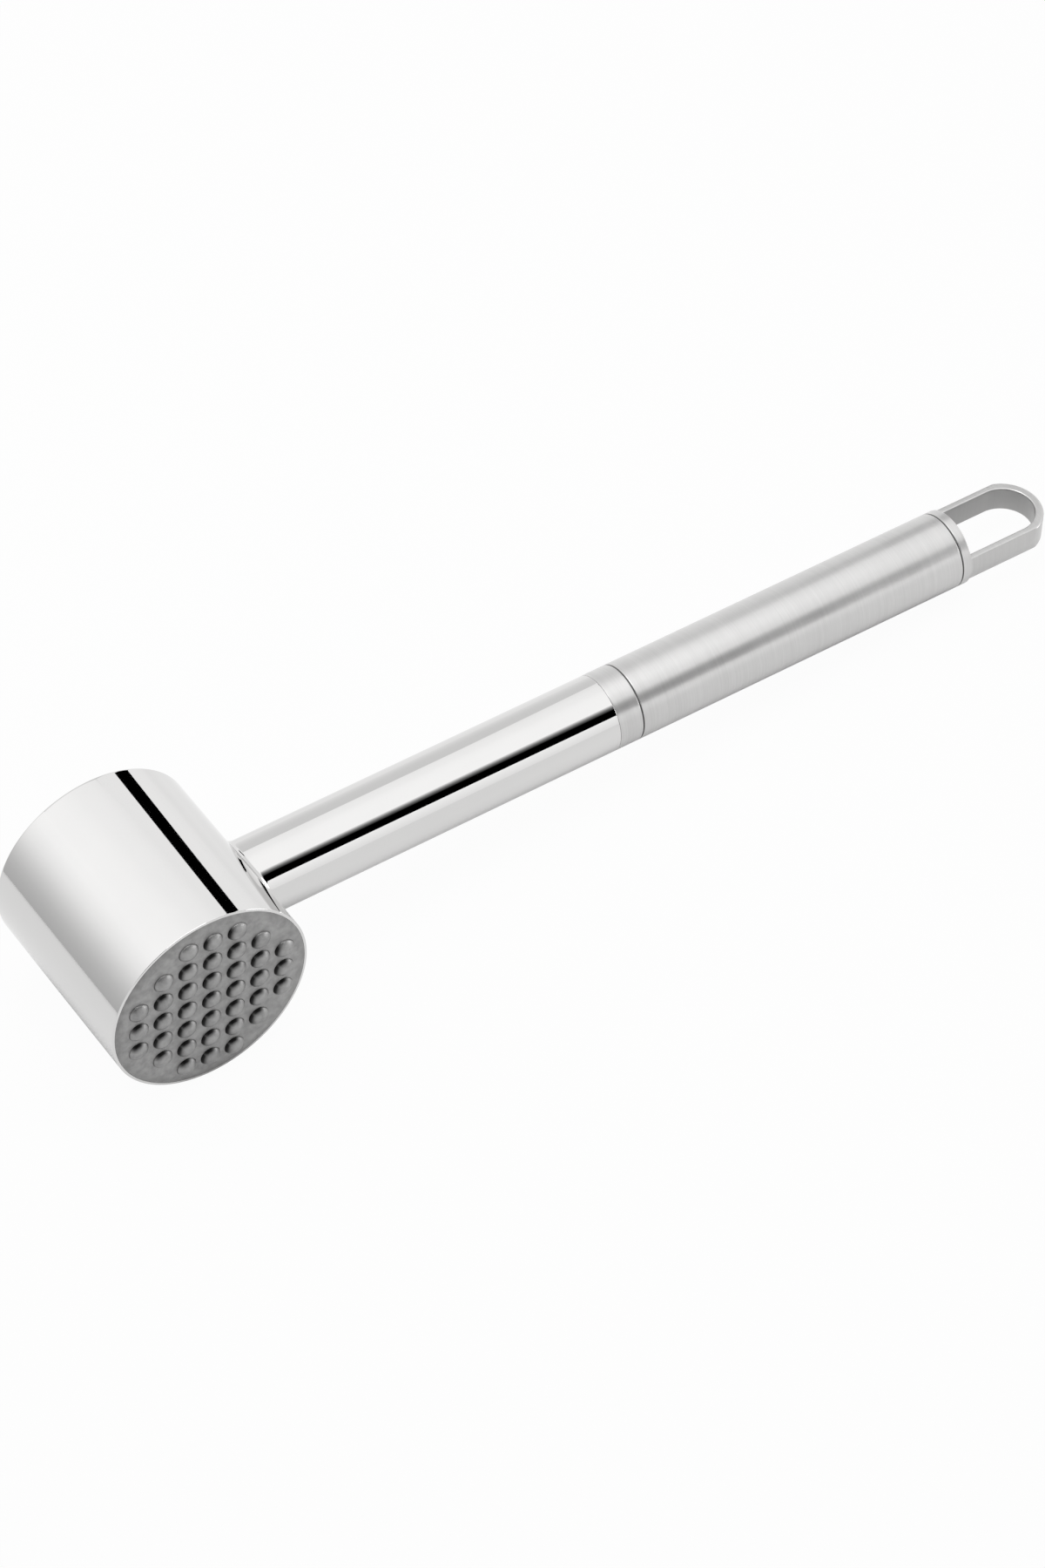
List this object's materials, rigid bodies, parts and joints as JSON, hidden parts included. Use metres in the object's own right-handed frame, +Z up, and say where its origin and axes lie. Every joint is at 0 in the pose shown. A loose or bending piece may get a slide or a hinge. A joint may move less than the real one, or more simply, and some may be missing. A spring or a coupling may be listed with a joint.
{
  "type": "meat mallet",
  "caption": "All-steel meat mallet: a cylindrical head with a studded face and a smooth face, and a round tubular handle that ends in a milled hanging loop.",
  "frame": {"origin": "on the surface the mallet lies on, under the centre of its bounding box", "axes": "+Z up; +Y along the head from the studded face to the smooth face; +X along the handle from the head to the hanging loop, which dips about four degrees so that the tail touches the surface"},
  "size_m": [0.2868, 0.0546, 0.0527],
  "materials": {
    "polished_steel": "mirror polished stainless steel",
    "satin_steel": "satin stainless steel, brushed round the handle",
    "blasted_steel": "cast and bead blasted stainless steel",
    "core_steel": "turned bar",
    "rod_steel": "plain",
    "seal": "black moulded ring"
  },
  "bodies": {
    "root": {"head_cup": "polished_steel", "head_core": "core_steel", "studded_face": "blasted_steel", "tie_rod": "rod_steel", "saddle_washer": "rod_steel", "jam_nut": "rod_steel", "neck_tube": "polished_steel", "front_cap": "satin_steel", "front_seal": "seal", "grip_tube": "satin_steel", "rear_seal": "seal", "end_cap": "satin_steel"}
  },
  "joints": []
}
